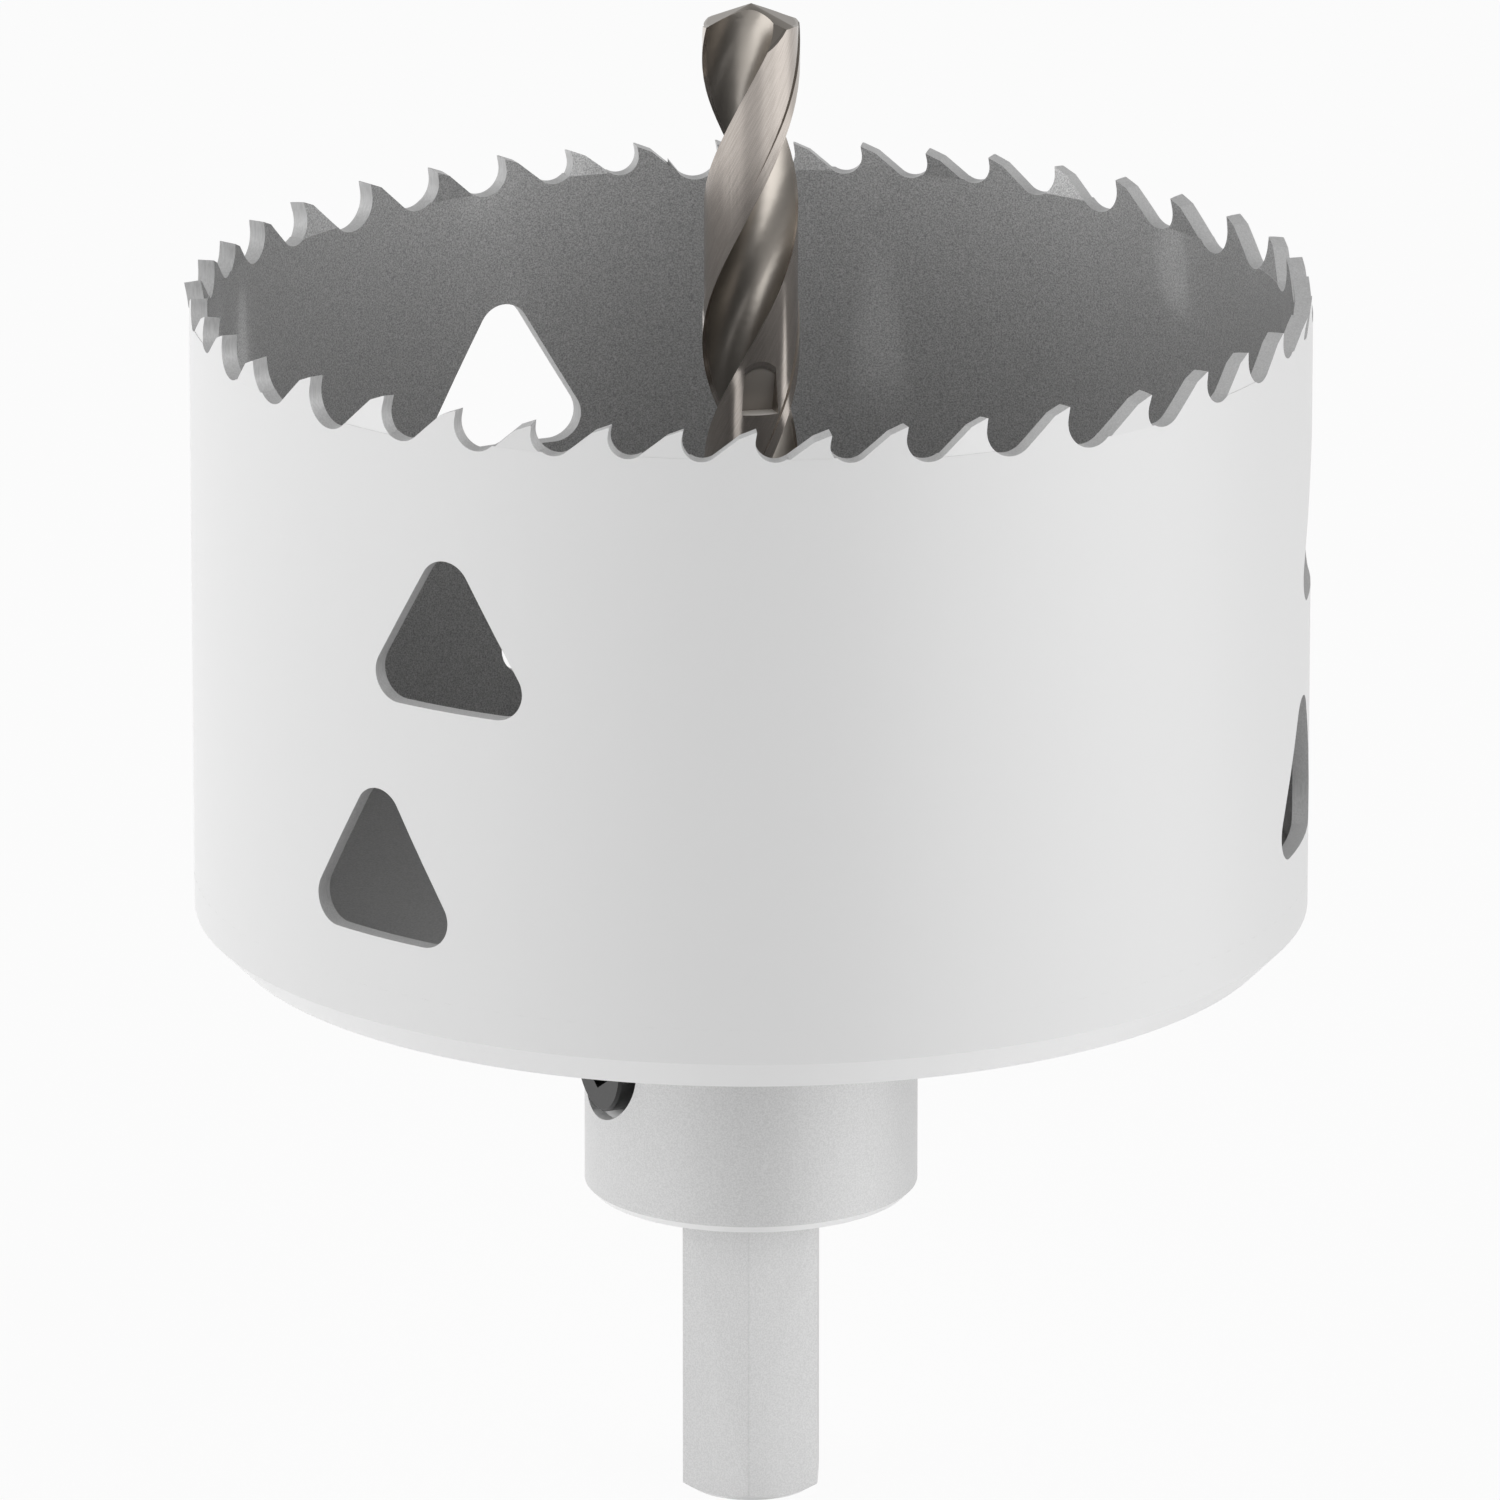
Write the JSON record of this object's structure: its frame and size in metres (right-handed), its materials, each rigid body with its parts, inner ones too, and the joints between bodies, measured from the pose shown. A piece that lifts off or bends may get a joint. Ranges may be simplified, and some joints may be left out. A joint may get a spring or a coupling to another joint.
{
  "type": "hole saw",
  "caption": "Toothed steel cup on a turned arbor with a hexagonal shank and a central twist drill, for cutting large round holes.",
  "frame": {"origin": "centre of the flat end of the hexagonal shank", "axes": "+Z along the saw's axis from the shank to the teeth and the drill's tip, -Y towards the front in the picture, +X to its right"},
  "size_m": [0.0826, 0.0824, 0.1136],
  "materials": {
    "cup_paint": "satin pale grey paint, bare ground teeth",
    "arbor_steel": "turned, satin",
    "drill_steel": "ground high-speed steel",
    "black_steel": "black oxide"
  },
  "bodies": {
    "root": {"tooth_band": "cup_paint", "base_plate": "cup_paint", "arbor": "arbor_steel", "pilot_drill": "drill_steel", "set_screw": "black_steel"}
  },
  "joints": []
}
